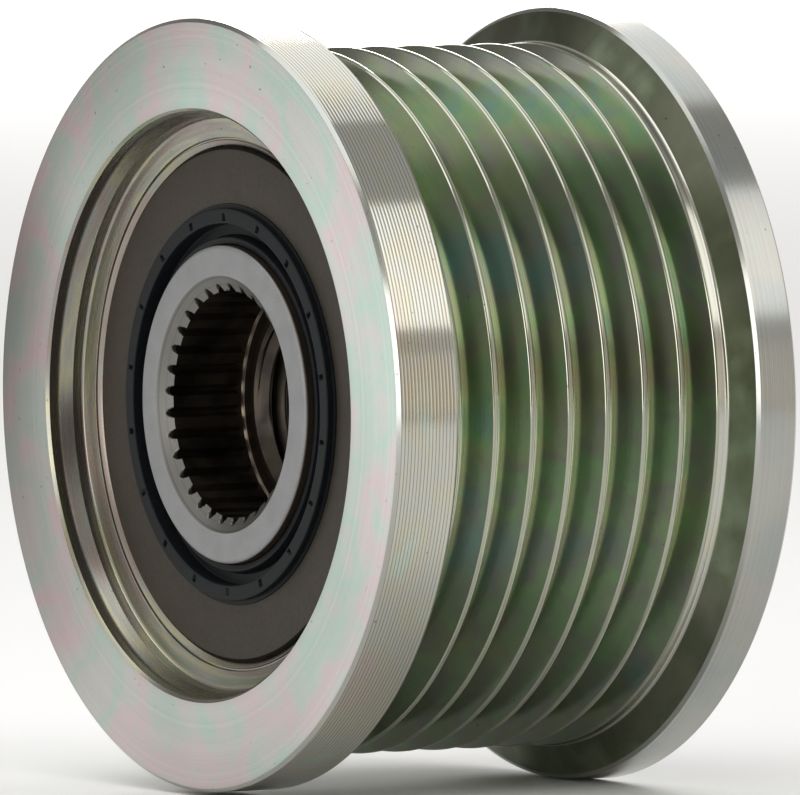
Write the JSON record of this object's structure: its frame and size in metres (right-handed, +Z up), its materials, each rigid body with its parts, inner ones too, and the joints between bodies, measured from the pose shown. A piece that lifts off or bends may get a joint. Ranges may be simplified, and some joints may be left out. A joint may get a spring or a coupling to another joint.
{
  "type": "overrunning alternator pulley",
  "caption": "Overrunning alternator pulley: a grooved poly-V rim that turns on a splined, threaded hub through needle bearings and a one-way roller clutch, sealed at both faces.",
  "frame": {"origin": "on the axis of rotation, halfway along the overall length", "axes": "+Y along the axis of rotation, from the open front face with the spline to the rear face that meets the shaft's shoulder; +Z up, +X to the right seen from the front"},
  "size_m": [0.064, 0.0388, 0.064],
  "materials": {
    "zinc_steel": "fine turned, zinc plated and iridescent passivated",
    "hub_steel": "fine blasted",
    "bearing_steel": "ground",
    "dark_plate": "matt phosphated",
    "seal_rubber": "satin moulded",
    "cage_plastic": "glass filled polyamide",
    "spring_steel": "bright strip"
  },
  "bodies": {
    "hub": {"hub": "hub_steel", "ramp_sleeve": "bearing_steel", "clutch_cage": "cage_plastic", "clutch_springs": "spring_steel", "front_thrust_washer": "bearing_steel", "rear_thrust_washer": "bearing_steel", "front_guide_ring": "bearing_steel", "rear_guide_ring": "bearing_steel", "front_slinger_ring": "bearing_steel", "rear_slinger_ring": "bearing_steel"},
    "pulley": {"pulley_rim": "zinc_steel", "outer_race_sleeve": "bearing_steel", "front_seal_plate": "dark_plate", "rear_seal_plate": "dark_plate", "front_seal_lip": "seal_rubber", "rear_seal_lip": "seal_rubber"},
    "locking_rollers": {"locking_rollers": "bearing_steel"},
    "front_needles": {"front_needle_cage": "cage_plastic", "front_needle_rollers": "bearing_steel"},
    "rear_needles": {"rear_needle_cage": "cage_plastic", "rear_needle_rollers": "bearing_steel"}
  },
  "joints": [
    {"name": "pulley_spin", "type": "hinge", "parent": "hub", "child": "pulley", "pos_m": [0, 0, 0], "axis": [0, 1, 0], "continuous": true},
    {"name": "front_needle_orbit", "type": "hinge", "parent": "hub", "child": "front_needles", "pos_m": [0, 0, 0], "axis": [0, 1, 0], "continuous": true},
    {"name": "rear_needle_orbit", "type": "hinge", "parent": "hub", "child": "rear_needles", "pos_m": [0, 0, 0], "axis": [0, 1, 0], "continuous": true},
    {"name": "roller_release", "type": "hinge", "parent": "hub", "child": "locking_rollers", "pos_m": [0, 0, 0], "axis": [0, 1, 0], "range_deg": [-3, 0], "stiffness_Nm_per_rad": 0.02, "springref_deg": 2.86, "deforming": ["clutch_springs"]}
  ],
  "couplings": [
    {"joint": "front_needle_orbit", "follows": "pulley_spin", "ratio": 0.54388},
    {"joint": "rear_needle_orbit", "follows": "pulley_spin", "ratio": 0.54388}
  ]
}
